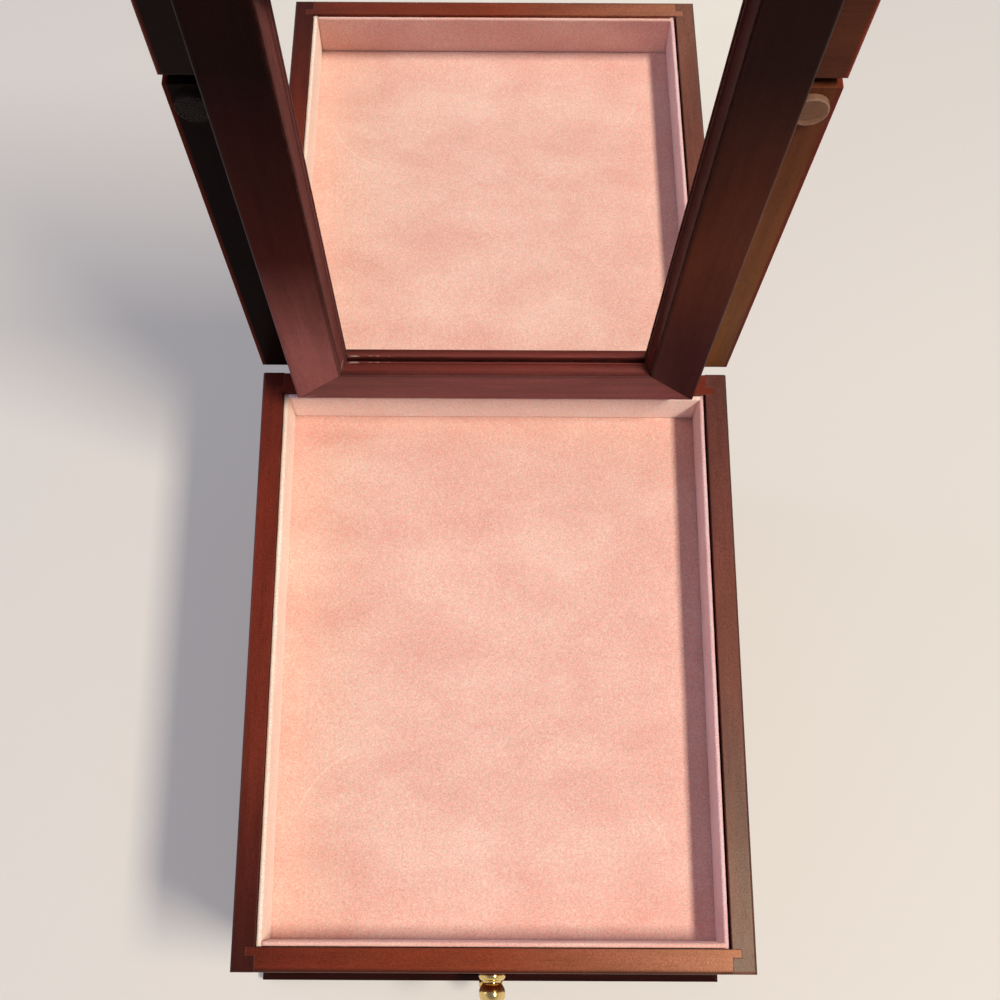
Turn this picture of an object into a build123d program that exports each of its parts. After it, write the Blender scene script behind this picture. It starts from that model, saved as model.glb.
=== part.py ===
from build123d import *
import math
import os

# Vanity box: a lined tray under a mirrored lid, above two shallow drawers.
# Frame: X to the right, Y from the front to the back, Z up, with the origin at the
# centre of the case's footprint, on the surface it stands on. Millimetres.
# The lid stands open against its hinge stops and both drawers are shut.

# ---------------------------------------------------------------- driving dimensions
# case
CASE_W = 260.0           # across the two side boards
CASE_D = 320.0           # front face to back face
WALL = 12.0              # side, front and back boards
RAIL_H = 36.0            # front rail, which closes the tray
OPENING_H = 58.0         # each drawer opening
SHELF_T = 9.0            # board between the drawers
BASE_T = 12.0            # board under the lower drawer
HOUSING = 4.0            # how far the shelf and the base enter the sides
TONGUE_L = 4.5           # corner tongue, along the front or back board
TONGUE_T = 4.0           # corner tongue, flush with the board's inner face
RIM_ROUND = 1.8          # outer arris of the rim, front and sides
EDGE_EASE = 0.8          # softened arris of the back board and the drawer fronts
GLUE_FIT = 0.05          # clearance on each side of a glued joint

# base moulding and the sheet under it
PLINTH_FRONT = 16.2      # how far it stands out in front of the case
PLINTH_SIDE = 12.7       # the same at the sides and the back
PLINTH_H = 11.5
PLINTH_BEVEL_IN = 3.9    # top bevel, measured in plan
PLINTH_BEVEL_DOWN = 4.5
FELT_T = 1.5
FELT_INSET = 3.0         # from the moulding's outer faces

# tray under the lid
TRAY_DEPTH = 27.5        # rim to velvet
TRAY_PANEL_T = 4.0       # thin board that carries the tray lining
PANEL_GROOVE = 4.0       # how far that board enters the four walls
LINING_T = 2.5           # velvet over card
LINING_GAP = 0.3         # between lining and wood
LINING_DROP = 1.0        # top of the lining below the rim
LINING_ROUND = 0.9       # velvet folded over the card's edge

# drawers
DRAWER_GAP = 0.8         # round a drawer in its opening
SLIDE_GAP = 0.3          # between a drawer side and the board it slides on
DRAWER_BACK_GAP = 2.0    # behind a shut drawer
FRONT_T = 12.0           # drawer front inside the opening
FRONT_PROUD = 3.0        # raised field in front of the case
BORDER_PROUD = 1.0       # border of the drawer front, in front of the case
BORDER_W = 7.0           # from the drawer front's edges to the field
DRAWER_SIDE_T = 8.0
DRAWER_SIDE_H = 46.0
DRAWER_LOCK = 5.0        # how far a drawer side enters the front
DRAWER_BACK_HOUSING = 3.0
DRAWER_BOTTOM_T = 3.0
DRAWER_BOTTOM_RAISE = 5.0
DRAWER_BOTTOM_GROOVE = 3.5
DRAWER_PAD_T = 1.5       # velvet sheet in the drawer

# turned knob
COLLAR_R = 7.3
COLLAR_T = 4.8
COLLAR_BEAD = 1.2        # roundness of the collar's edge
WAIST_R = 4.9
WAIST_FLARE = 0.5        # cove of the waist
WAIST_L = 2.2
BALL_R = 7.15
KNOB_SCREW_R = 2.0
KNOB_SCREW_GRIP = 8.0    # length inside the knob
KNOB_HEAD_R = 4.0
KNOB_HEAD_T = 2.4
SCREW_HOLE_FIT = 0.2     # round the screw's shank in the drawer front
THREAD_FIT = 0.05        # round a thread that holds

# lid
OPEN_ANGLE = 93.5        # from shut to the hinge stops
LID_GAP = 3.0            # between the rims of the shut lid and the case
TOP_T = 8.0              # lid's top board
TOP_ROUND = 3.0
UNDER_T = 6.0            # boards under the top board
STILE_W = 58.0           # left and right boards of that layer
STILE_INSET = 0.3        # from the lid's side edges
BACK_RAIL_W = 40.0
FRONT_BOARD_L = 98.0     # wide board at the lid's front
FRONT_BOARD_PROUD = 1.0  # stands down from the other boards
FRONT_BOARD_ROUND = 1.6
LID_GROOVE = 5.0         # open joint between the front board and the stiles

# mirror frame
FRAME_INSET_X = 23.6     # lid's edge to the frame's outer face, left and right
FRAME_INSET_BACK = 15.6  # the same at the hinges
FRAME_INSET_FRONT = 16.6 # the same at the free edge, which swings past the tray's wall
FRAME_H = 29.0           # how far the frame stands off the lid
FACE_W = 26.0            # flat face
MOULD_W = 3.7            # steep inner moulding
MOULD_QUIRK = 0.6        # step between the face and the moulding
MOULD_LIP = 1.0          # rounded lip over the glass
FRAME_ROUND = 1.5        # outer arris
FRONT_NARROW = 0.6       # width of the front rail, as a part of the others' width
RABBET_W = 5.0           # shelf for the glass behind the moulding
GLASS_DEPTH = 6.4        # face of the frame down to the glass
GLASS_T = 2.0
BACKING_T = 3.0
RETAINER = 4.0           # square strips that hold the backing
MIRROR_FIT = 0.3         # round the glass and its backing

# bumpers
BUMPER_R = 7.5
BUMPER_T = 2.7
BUMPER_INSET = 10.3      # centre from the case's side face
BUMPER_BACK = 10.8       # centre behind the stile's front end
BUMPER_ROUND = 0.7

# stop hinges
HINGE_INSET = 42.0       # centre of each hinge from the case's side face
HINGE_L = 30.0
LEAF_T = 1.3
LEAF_REACH = 9.5         # leaf on the board, from its back edge
PIN_BEHIND = 1.7         # pin axis behind the case's back face
PIN_R = 1.0
PIN_FIT = 0.05           # running clearance in the lid's knuckle
KNUCKLE_R = 2.1
KNUCKLE_GAP = 0.3
STOP_ANGLE = 45.0        # the case leaf's stop, below the horizontal
STOP_REACH = 7.0
STOP_T = 1.2
STOP_GAP = 0.3           # between the two stops when the lid is open
LEAF_SCREWS = 3
LEAF_SCREW_PITCH = 10.0
SCREW_R = 1.1
SCREW_HEAD_R = 2.1
SCREW_L = 6.5

# ---------------------------------------------------------------- worked out from them
INNER_W = CASE_W - 2 * WALL
INNER_D = CASE_D - 2 * WALL
HINGE_X = CASE_W / 2 - HINGE_INSET
CASE_H = RAIL_H + 2 * OPENING_H + SHELF_T + BASE_T
RIM_Z = FELT_T + CASE_H
FRONT_Y = -CASE_D / 2
BACK_Y = CASE_D / 2
BASE_TOP = FELT_T + BASE_T
SHELF_TOP = BASE_TOP + OPENING_H + SHELF_T
TRAY_FLOOR_Z = RIM_Z - TRAY_DEPTH
TRAY_PANEL_TOP = TRAY_FLOOR_Z - LINING_T

# the lid's own plane lies on its underside: local X is X, local Y runs from the hinge
# edge to the free edge, local Z is the side that faces the tray
HINGE_PIN = Vector(0, BACK_Y + PIN_BEHIND, RIM_Z + LID_GAP / 2)
_open = math.radians(OPEN_ANGLE)
LID_RUN = Vector(0, -math.cos(_open), math.sin(_open))
LID_INWARD = Vector(0, -math.sin(_open), -math.cos(_open))
LID = Plane(
    origin=HINGE_PIN + LID_RUN * PIN_BEHIND - LID_INWARD * (LID_GAP / 2),
    x_dir=(1, 0, 0),
    z_dir=LID_INWARD,
)
STILE_L = CASE_D - FRONT_BOARD_L - LID_GROOVE
FRAME_HALF_X = CASE_W / 2 - FRAME_INSET_X
FRAME_S0 = FRAME_INSET_BACK
FRAME_S1 = CASE_D - FRAME_INSET_FRONT

os.makedirs("parts", exist_ok=True)


def save(builder, name):
    builder.part.label = name
    export_step(builder.part, f"parts/{name}.step")


def on_lid(height):
    """The lid's plane, moved off its underside towards the tray."""
    return LID.offset(height)


def box_between(low, high, mode=Mode.ADD):
    """A box given by two opposite corners, in the frame of the enclosing part."""
    size = [b - a for a, b in zip(low, high)]
    middle = tuple((a + b) / 2 for a, b in zip(low, high))
    with Locations(middle):
        Box(*size, mode=mode)


# ---------------------------------------------------------------- case boards
def side_board(name, hand):
    """A side, with the dados, housings and groove that take the other boards."""
    inner = hand * INNER_W / 2
    outer = hand * CASE_W / 2

    def pocket(y0, y1, z0, z1, depth):
        bottom = inner + hand * depth
        box_between((min(inner, bottom), y0, z0), (max(inner, bottom), y1, z1),
                    mode=Mode.SUBTRACT)

    fit = GLUE_FIT
    with BuildPart() as side:
        box_between((min(inner, outer), FRONT_Y, FELT_T), (max(inner, outer), BACK_Y, RIM_Z))
        rim = side.faces().sort_by(Axis.Z)[-1].edges()
        ends = rim.filter_by(Axis.X).sort_by(Axis.Y)
        outer_edge = rim.filter_by(Axis.Y).sort_by(lambda edge: abs(edge.center().X))[-1]
        fillet([ends[0], outer_edge], RIM_ROUND)
        for end in (FRONT_Y + WALL, BACK_Y - WALL):
            away = 1 if end < 0 else -1
            near, far = end + away * fit, end - away * (TONGUE_T + fit)
            low = RIM_Z - RAIL_H - fit if end < 0 else FELT_T
            pocket(min(near, far), max(near, far), low, RIM_Z, TONGUE_L + fit)
        for top, thickness in ((BASE_TOP, BASE_T), (SHELF_TOP, SHELF_T)):
            pocket(FRONT_Y, BACK_Y - WALL, top - thickness - fit, top + fit, HOUSING + fit)
        reach = INNER_D / 2 + PANEL_GROOVE + fit
        pocket(-reach, reach, TRAY_PANEL_TOP - TRAY_PANEL_T - fit, TRAY_PANEL_TOP + fit,
               PANEL_GROOVE + fit)
    save(side, name)


def end_board(name, end_y, height):
    """A front or back board between the sides: a tongue at each end enters their dados."""
    facing = 1 if end_y < 0 else -1
    inner_y = end_y + facing * WALL
    tongue_y = inner_y - facing * TONGUE_T
    groove_y = inner_y - facing * (PANEL_GROOVE + GLUE_FIT)
    half = INNER_W / 2
    low = RIM_Z - height
    with BuildPart() as board:
        box_between((-half, min(end_y, inner_y), low), (half, max(end_y, inner_y), RIM_Z))
        arris = board.edges().filter_by(Axis.X).group_by(Axis.Y)[0 if facing > 0 else -1]
        fillet(arris.sort_by(Axis.Z)[-1], RIM_ROUND if facing > 0 else EDGE_EASE)
        box_between((-half - TONGUE_L, min(tongue_y, inner_y), low),
                    (half + TONGUE_L, max(tongue_y, inner_y), RIM_Z))
        box_between((-half - TONGUE_L, min(groove_y, inner_y),
                     TRAY_PANEL_TOP - TRAY_PANEL_T - GLUE_FIT),
                    (half + TONGUE_L, max(groove_y, inner_y), TRAY_PANEL_TOP + GLUE_FIT),
                    mode=Mode.SUBTRACT)
        if facing < 0:
            with Locations(*[(x, leaf_screw_y(), RIM_Z) for x in leaf_screw_xs()]):
                Cylinder(SCREW_R + THREAD_FIT, SCREW_L,
                         align=(Align.CENTER, Align.CENTER, Align.MAX), mode=Mode.SUBTRACT)
    save(board, name)


def leaf_screw_xs():
    first = -(LEAF_SCREWS - 1) / 2 * LEAF_SCREW_PITCH
    return [hinge * HINGE_X + first + i * LEAF_SCREW_PITCH
            for hinge in (-1, 1) for i in range(LEAF_SCREWS)]


def leaf_screw_y():
    return BACK_Y - LEAF_REACH / 2


side_board("side_left", -1)
side_board("side_right", 1)
end_board("front_rail", FRONT_Y, RAIL_H)
end_board("back_board", BACK_Y, CASE_H)

for name, top, thickness in (("shelf", SHELF_TOP, SHELF_T), ("base_board", BASE_TOP, BASE_T)):
    half = INNER_W / 2 + HOUSING
    with BuildPart() as board:
        box_between((-half, FRONT_Y, top - thickness), (half, BACK_Y - WALL - GLUE_FIT, top))
    save(board, name)

with BuildPart() as tray_panel:
    box_between((-INNER_W / 2 - PANEL_GROOVE, -INNER_D / 2 - PANEL_GROOVE,
                 TRAY_PANEL_TOP - TRAY_PANEL_T),
                (INNER_W / 2 + PANEL_GROOVE, INNER_D / 2 + PANEL_GROOVE, TRAY_PANEL_TOP))
save(tray_panel, "tray_panel")

# ---------------------------------------------------------------- base moulding
PLINTH_X = CASE_W / 2 + PLINTH_SIDE
PLINTH_Y0 = FRONT_Y - PLINTH_FRONT
PLINTH_Y1 = BACK_Y + PLINTH_SIDE
PLINTH_MIDDLE = (0, (PLINTH_Y0 + PLINTH_Y1) / 2)
PLINTH_D = PLINTH_Y1 - PLINTH_Y0
MITRE_Y = PLINTH_Y0 + PLINTH_SIDE    # where the front mitres reach the sides' planes


def plinth(name, *plan):
    """The piece of the bevelled moulding that stands over one mitred plan."""
    with BuildPart() as piece:
        with BuildSketch(Plane.XY.offset(FELT_T)):
            with Locations(PLINTH_MIDDLE):
                Rectangle(2 * PLINTH_X, PLINTH_D)
        extrude(amount=PLINTH_H)
        top = piece.faces().sort_by(Axis.Z)[-1]
        chamfer(top.edges(), PLINTH_BEVEL_IN, PLINTH_BEVEL_DOWN, reference=top)
        with BuildSketch(Plane.XY.offset(FELT_T)):
            with BuildLine():
                Polyline(*plan, close=True)
            make_face()
        extrude(amount=PLINTH_H, mode=Mode.INTERSECT)
    save(piece, name)


half = CASE_W / 2
plinth("plinth_front", (-half, FRONT_Y), (half, FRONT_Y), (half, MITRE_Y),
       (PLINTH_X, PLINTH_Y0), (-PLINTH_X, PLINTH_Y0), (-half, MITRE_Y))
plinth("plinth_back", (-half, BACK_Y), (half, BACK_Y),
       (PLINTH_X, PLINTH_Y1), (-PLINTH_X, PLINTH_Y1))
for name, hand in (("plinth_left", -1), ("plinth_right", 1)):
    plinth(name, (hand * half, BACK_Y), (hand * half, MITRE_Y),
           (hand * PLINTH_X, PLINTH_Y0), (hand * PLINTH_X, PLINTH_Y1))

with BuildPart() as base_felt:
    with BuildSketch():
        with Locations(PLINTH_MIDDLE):
            RectangleRounded(2 * (PLINTH_X - FELT_INSET), PLINTH_D - 2 * FELT_INSET, FELT_INSET)
    extrude(amount=FELT_T)
save(base_felt, "base_felt")

# ---------------------------------------------------------------- tray lining
LINED_X = INNER_W / 2 - LINING_GAP
LINED_Y = INNER_D / 2 - LINING_GAP
LINING_TOP = RIM_Z - LINING_DROP

with BuildPart() as lining_floor:
    box_between((-LINED_X, -LINED_Y, TRAY_PANEL_TOP), (LINED_X, LINED_Y, TRAY_FLOOR_Z))
save(lining_floor, "lining_floor")

for name, hand in (("lining_left", -1), ("lining_right", 1)):
    near, far = hand * LINED_X, hand * (LINED_X - LINING_T)
    with BuildPart() as wall:
        box_between((min(near, far), -LINED_Y, TRAY_FLOOR_Z),
                    (max(near, far), LINED_Y, LINING_TOP))
        fillet(wall.edges().filter_by(Axis.Y).group_by(Axis.Z)[-1], LINING_ROUND)
    save(wall, name)

for name, hand in (("lining_front", -1), ("lining_back", 1)):
    near, far = hand * LINED_Y, hand * (LINED_Y - LINING_T)
    half = LINED_X - LINING_T
    with BuildPart() as wall:
        box_between((-half, min(near, far), TRAY_FLOOR_Z), (half, max(near, far), LINING_TOP))
        fillet(wall.edges().filter_by(Axis.X).group_by(Axis.Z)[-1], LINING_ROUND)
    save(wall, name)

# ---------------------------------------------------------------- drawers
DRAWER_HALF = INNER_W / 2 - DRAWER_GAP
FRONT_H = OPENING_H - 2 * DRAWER_GAP
FRONT_BACK_Y = FRONT_Y + FRONT_T
DRAWER_END_Y = BACK_Y - WALL - DRAWER_BACK_GAP
BACK_FACE_Y = DRAWER_END_Y - DRAWER_SIDE_T
BOTTOM_HALF = DRAWER_HALF - DRAWER_SIDE_T + DRAWER_BOTTOM_GROOVE
WAIST_END_R = WAIST_R + WAIST_FLARE
BALL_Y = math.sqrt(BALL_R ** 2 - WAIST_END_R ** 2)


def drawer_bottom_box(floor_z, grow):
    """The bottom panel's corners, or its grooves' when grown by the fit."""
    low = floor_z + SLIDE_GAP + DRAWER_BOTTOM_RAISE
    return ((-BOTTOM_HALF - grow, FRONT_BACK_Y - DRAWER_BOTTOM_GROOVE - grow, low - grow),
            (BOTTOM_HALF + grow, BACK_FACE_Y + DRAWER_BOTTOM_GROOVE + grow,
             low + DRAWER_BOTTOM_T + grow))


def drawer_side_x(hand):
    inner, outer = hand * (DRAWER_HALF - DRAWER_SIDE_T), hand * DRAWER_HALF
    return min(inner, outer), max(inner, outer)


def drawer_front(name, floor_z):
    """A board with a raised, round-edged field that stands in front of the case."""
    middle_z = floor_z + OPENING_H / 2
    raise_by = FRONT_PROUD - BORDER_PROUD
    side_low, side_high = floor_z + SLIDE_GAP, floor_z + SLIDE_GAP + DRAWER_SIDE_H
    face = Plane(origin=(0, FRONT_Y, middle_z), x_dir=(1, 0, 0), z_dir=(0, -1, 0))
    with BuildPart() as front:
        with BuildSketch(face.offset(-FRONT_T)):
            Rectangle(2 * DRAWER_HALF, FRONT_H)
        extrude(amount=FRONT_T + BORDER_PROUD)
        with BuildSketch(face.offset(BORDER_PROUD)):
            Rectangle(2 * (DRAWER_HALF - BORDER_W), FRONT_H - 2 * BORDER_W)
        extrude(amount=raise_by)
        fillet(front.faces().sort_by(Axis.Y)[0].edges(), raise_by - EDGE_EASE)
        for hand in (-1, 1):
            x0, x1 = drawer_side_x(hand)
            box_between((x0 - GLUE_FIT, FRONT_BACK_Y - DRAWER_LOCK - GLUE_FIT,
                         side_low - GLUE_FIT),
                        (x1 + GLUE_FIT, FRONT_BACK_Y, side_high + GLUE_FIT),
                        mode=Mode.SUBTRACT)
        box_between(*drawer_bottom_box(floor_z, GLUE_FIT), mode=Mode.SUBTRACT)
        with Locations(face.offset(-FRONT_T)):
            Cylinder(KNOB_SCREW_R + SCREW_HOLE_FIT, 3 * (FRONT_T + FRONT_PROUD),
                     mode=Mode.SUBTRACT)
    save(front, name)


def drawer_side(name, floor_z, hand):
    x0, x1 = drawer_side_x(hand)
    inner = x0 if hand > 0 else x1
    housing = inner + hand * (DRAWER_BACK_HOUSING + GLUE_FIT)
    low = floor_z + SLIDE_GAP
    with BuildPart() as side:
        box_between((x0, FRONT_BACK_Y - DRAWER_LOCK, low),
                    (x1, DRAWER_END_Y, low + DRAWER_SIDE_H))
        box_between((min(inner, housing), BACK_FACE_Y - GLUE_FIT, low),
                    (max(inner, housing), DRAWER_END_Y, low + DRAWER_SIDE_H),
                    mode=Mode.SUBTRACT)
        box_between(*drawer_bottom_box(floor_z, GLUE_FIT), mode=Mode.SUBTRACT)
    save(side, name)


def drawer_back(name, floor_z):
    half = DRAWER_HALF - DRAWER_SIDE_T + DRAWER_BACK_HOUSING
    low = floor_z + SLIDE_GAP
    with BuildPart() as back:
        box_between((-half, BACK_FACE_Y, low), (half, DRAWER_END_Y, low + DRAWER_SIDE_H))
        box_between(*drawer_bottom_box(floor_z, GLUE_FIT), mode=Mode.SUBTRACT)
    save(back, name)


def drawer_floor(panel_name, pad_name, floor_z):
    panel_low, panel_high = drawer_bottom_box(floor_z, 0)
    with BuildPart() as panel:
        box_between(panel_low, panel_high)
    save(panel, panel_name)
    half = DRAWER_HALF - DRAWER_SIDE_T - LINING_GAP
    with BuildPart() as pad:
        box_between((-half, FRONT_BACK_Y + LINING_GAP, panel_high[2]),
                    (half, BACK_FACE_Y - LINING_GAP, panel_high[2] + DRAWER_PAD_T))
    save(pad, pad_name)


def knob_plane(floor_z):
    """Origin on the drawer's outer face; local Y points out of the drawer."""
    return Plane(origin=(0, FRONT_Y - FRONT_PROUD, floor_z + OPENING_H / 2),
                 x_dir=(1, 0, 0), z_dir=(0, 0, 1)).rotated((0, 0, 180))


def knob(name, floor_z):
    """Collar, waist and ball turned about the screw's axis."""
    neck = COLLAR_T + WAIST_L
    ball_centre = neck + BALL_Y
    with BuildPart() as turned:
        with BuildSketch(knob_plane(floor_z)):
            with BuildLine():
                base = Line((0, 0), (COLLAR_R - COLLAR_BEAD, 0))
                bead = ThreePointArc(base @ 1, (COLLAR_R, COLLAR_T / 2),
                                     (COLLAR_R - COLLAR_BEAD, COLLAR_T))
                shoulder = Line(bead @ 1, (WAIST_END_R, COLLAR_T))
                waist = ThreePointArc(shoulder @ 1, (WAIST_R, (COLLAR_T + neck) / 2),
                                      (WAIST_END_R, neck))
                ball = ThreePointArc(waist @ 1, (BALL_R, ball_centre),
                                     (0, ball_centre + BALL_R))
                Line(ball @ 1, (0, 0))
            make_face()
        axis_plane = knob_plane(floor_z)
        revolve(axis=Axis(axis_plane.origin, axis_plane.y_dir))
        hole = Plane(origin=axis_plane.origin, z_dir=axis_plane.y_dir)
        with BuildSketch(hole):
            Circle(KNOB_SCREW_R + THREAD_FIT)
        extrude(amount=KNOB_SCREW_GRIP + THREAD_FIT, mode=Mode.SUBTRACT)
    save(turned, name)


def knob_screw(name, floor_z):
    back = Plane(origin=(0, FRONT_BACK_Y, floor_z + OPENING_H / 2), z_dir=(0, -1, 0))
    with BuildPart() as screw:
        with BuildSketch(back):
            Circle(KNOB_SCREW_R)
        extrude(amount=FRONT_T + FRONT_PROUD + KNOB_SCREW_GRIP)
        with BuildSketch(back):
            Circle(KNOB_HEAD_R)
        extrude(amount=-KNOB_HEAD_T)
        fillet(screw.faces().sort_by(Axis.Y)[-1].edges(), KNOB_HEAD_T / 2)
    save(screw, name)


for level, floor_z in (("upper", SHELF_TOP), ("lower", BASE_TOP)):
    drawer_front(f"drawer_front_{level}", floor_z)
    drawer_side(f"drawer_side_left_{level}", floor_z, -1)
    drawer_side(f"drawer_side_right_{level}", floor_z, 1)
    drawer_back(f"drawer_back_{level}", floor_z)
    drawer_floor(f"drawer_bottom_{level}", f"drawer_pad_{level}", floor_z)
    knob(f"knob_{level}", floor_z)
    knob_screw(f"knob_screw_{level}", floor_z)

# ---------------------------------------------------------------- lid boards
with BuildPart() as lid_top:
    with BuildSketch(on_lid(-UNDER_T - TOP_T)):
        with Locations((0, CASE_D / 2)):
            Rectangle(CASE_W - 2 * STILE_INSET, CASE_D)
    extrude(amount=TOP_T)
    outer_face = lid_top.faces().sort_by(lambda face: LID.to_local_coords(face.center()).Z)[0]
    fillet(outer_face.edges(), TOP_ROUND)
save(lid_top, "lid_top")

STILE_X = CASE_W / 2 - STILE_INSET - STILE_W / 2
for name, hand in (("lid_stile_left", -1), ("lid_stile_right", 1)):
    with BuildPart() as stile:
        with BuildSketch(on_lid(-UNDER_T)):
            with Locations((hand * STILE_X, STILE_L / 2)):
                Rectangle(STILE_W, STILE_L)
        extrude(amount=UNDER_T)
        for x in leaf_screw_xs():
            if x * hand > 0:
                with BuildSketch(LID):
                    with Locations((x, LEAF_REACH / 2)):
                        Circle(SCREW_R + THREAD_FIT)
                extrude(amount=-(SCREW_L - LEAF_T + THREAD_FIT), mode=Mode.SUBTRACT)
    save(stile, name)

with BuildPart() as lid_back_rail:
    with BuildSketch(on_lid(-UNDER_T)):
        with Locations((0, BACK_RAIL_W / 2)):
            Rectangle(2 * (STILE_X - STILE_W / 2 - GLUE_FIT), BACK_RAIL_W)
    extrude(amount=UNDER_T)
save(lid_back_rail, "lid_back_rail")

with BuildPart() as lid_front_board:
    with BuildSketch(on_lid(-UNDER_T)):
        with Locations((0, CASE_D - FRONT_BOARD_L / 2)):
            Rectangle(CASE_W, FRONT_BOARD_L)
    extrude(amount=UNDER_T + FRONT_BOARD_PROUD)
    inner_face = lid_front_board.faces().sort_by(
        lambda face: LID.to_local_coords(face.center()).Z)[-1]
    fillet(inner_face.edges(), FRONT_BOARD_ROUND)
    with BuildSketch(on_lid(0)):
        with Locations((0, (FRAME_S0 + FRAME_S1) / 2)):
            Rectangle(2 * (FRAME_HALF_X + GLUE_FIT), FRAME_S1 - FRAME_S0 + 2 * GLUE_FIT)
    extrude(amount=FRONT_BOARD_PROUD, mode=Mode.SUBTRACT)
save(lid_front_board, "lid_front_board")

# ---------------------------------------------------------------- mitred mirror frame
FRAME_W = FACE_W + MOULD_W
GLASS_FACE = FRAME_H - GLASS_DEPTH


def frame_rail(name, middle, inward, half_length, narrow=1.0):
    """One length of moulding: flat face, quirk, steep cove and lip, mitred at both ends.

    middle is the local point under the rail's outer face, inward the local direction
    towards the mirror, and narrow the rail's width as a part of FRAME_W.
    """
    towards = LID.from_local_coords(Vector(*inward)) - LID.origin
    profile_plane = Plane(origin=LID.from_local_coords(middle), x_dir=towards,
                          z_dir=towards.cross(LID.z_dir))
    face, width, rabbet = FACE_W * narrow, FRAME_W * narrow, RABBET_W * narrow
    quirk_x, quirk_z = face + MOULD_QUIRK, FRAME_H - MOULD_QUIRK
    lip_top = GLASS_FACE + MOULD_LIP
    nose = MOULD_LIP / 2
    with BuildPart() as rail:
        with BuildSketch(profile_plane):
            with BuildLine():
                outer = Line((0, 0), (0, FRAME_H - FRAME_ROUND))
                arris = RadiusArc(outer @ 1, (FRAME_ROUND, FRAME_H), FRAME_ROUND)
                flat = Line(arris @ 1, (face, FRAME_H))
                step = Line(flat @ 1, (face, quirk_z))
                ledge = Line(step @ 1, (quirk_x, quirk_z))
                cove = RadiusArc(ledge @ 1, (width - 2 * nose, lip_top),
                                 -1.5 * (quirk_z - lip_top))
                shelf = Line(cove @ 1, (width - nose, lip_top))
                edge = ThreePointArc(shelf @ 1, (width, lip_top - nose),
                                     (width - nose, GLASS_FACE))
                under = Line(edge @ 1, (width - rabbet, GLASS_FACE))
                wall = Line(under @ 1, (width - rabbet, 0))
                Line(wall @ 1, (0, 0))
            make_face()
        extrude(amount=half_length, both=True)
        for along in (profile_plane.z_dir, profile_plane.z_dir * -1):
            neighbour = FRONT_NARROW if along.dot(LID_RUN) > 0.5 else 1.0
            split(bisect_by=Plane(origin=profile_plane.origin + along * half_length,
                                  z_dir=along * narrow + towards * neighbour),
                  keep=Keep.BOTTOM)
    save(rail, name)


FRAME_MID_S = (FRAME_S0 + FRAME_S1) / 2
FRAME_HALF_S = (FRAME_S1 - FRAME_S0) / 2
frame_rail("frame_left", (-FRAME_HALF_X, FRAME_MID_S, 0), (1, 0, 0), FRAME_HALF_S)
frame_rail("frame_right", (FRAME_HALF_X, FRAME_MID_S, 0), (-1, 0, 0), FRAME_HALF_S)
frame_rail("frame_back", (0, FRAME_S0, 0), (0, 1, 0), FRAME_HALF_X)
frame_rail("frame_front", (0, FRAME_S1, 0), (0, -1, 0), FRAME_HALF_X, FRONT_NARROW)

# ---------------------------------------------------------------- mirror and its backing
RABBET_HALF_X = FRAME_HALF_X - FRAME_W + RABBET_W
RABBET_S0 = FRAME_S0 + FRAME_W - RABBET_W
RABBET_S1 = FRAME_S1 - (FRAME_W - RABBET_W) * FRONT_NARROW
RABBET_MID_S = (RABBET_S0 + RABBET_S1) / 2
RABBET_HALF_S = (RABBET_S1 - RABBET_S0) / 2
BACKING_LOW = GLASS_FACE - GLASS_T - BACKING_T


def mirror_sheet(name, bottom, thickness):
    with BuildPart() as sheet:
        with BuildSketch(on_lid(bottom)):
            with Locations((0, RABBET_MID_S)):
                Rectangle(2 * (RABBET_HALF_X - MIRROR_FIT), 2 * (RABBET_HALF_S - MIRROR_FIT))
        extrude(amount=thickness)
    save(sheet, name)


mirror_sheet("mirror_glass", GLASS_FACE - GLASS_T, GLASS_T)
mirror_sheet("mirror_backing", BACKING_LOW, BACKING_T)

with BuildPart() as mirror_retainers:
    with BuildSketch(on_lid(BACKING_LOW - RETAINER)):
        for side in (-1, 1):
            with Locations((side * (RABBET_HALF_X - RETAINER / 2), RABBET_MID_S)):
                Rectangle(RETAINER, 2 * (RABBET_HALF_S - RETAINER - MIRROR_FIT))
            with Locations((0, RABBET_MID_S + side * (RABBET_HALF_S - RETAINER / 2))):
                Rectangle(2 * RABBET_HALF_X, RETAINER)
    extrude(amount=RETAINER)
save(mirror_retainers, "mirror_retainers")

# ---------------------------------------------------------------- bumpers
BUMPER_S = STILE_L - BUMPER_BACK
with BuildPart() as bumpers:
    with BuildSketch(LID):
        for hand in (-1, 1):
            with Locations((hand * (CASE_W / 2 - BUMPER_INSET), BUMPER_S)):
                Circle(BUMPER_R)
    extrude(amount=BUMPER_T)
    tops = bumpers.faces().sort_by(lambda face: LID.to_local_coords(face.center()).Z)[-2:]
    fillet(tops.edges(), BUMPER_ROUND)
save(bumpers, "bumpers")

# ---------------------------------------------------------------- stop hinges
SEGMENT = HINGE_L / 3


def leaf_plane(x, on_case):
    """Cross-section of a leaf at its left end: local X points away from the leaf, past
    the pin, and local Y towards the board that the leaf is screwed to."""
    away = Vector(0, 1, 0) if on_case else LID_RUN * -1
    board = Vector(0, 0, -1) if on_case else LID_INWARD * -1
    return Plane(origin=(x, HINGE_PIN.Y, HINGE_PIN.Z), x_dir=away, z_dir=away.cross(board))


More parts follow.
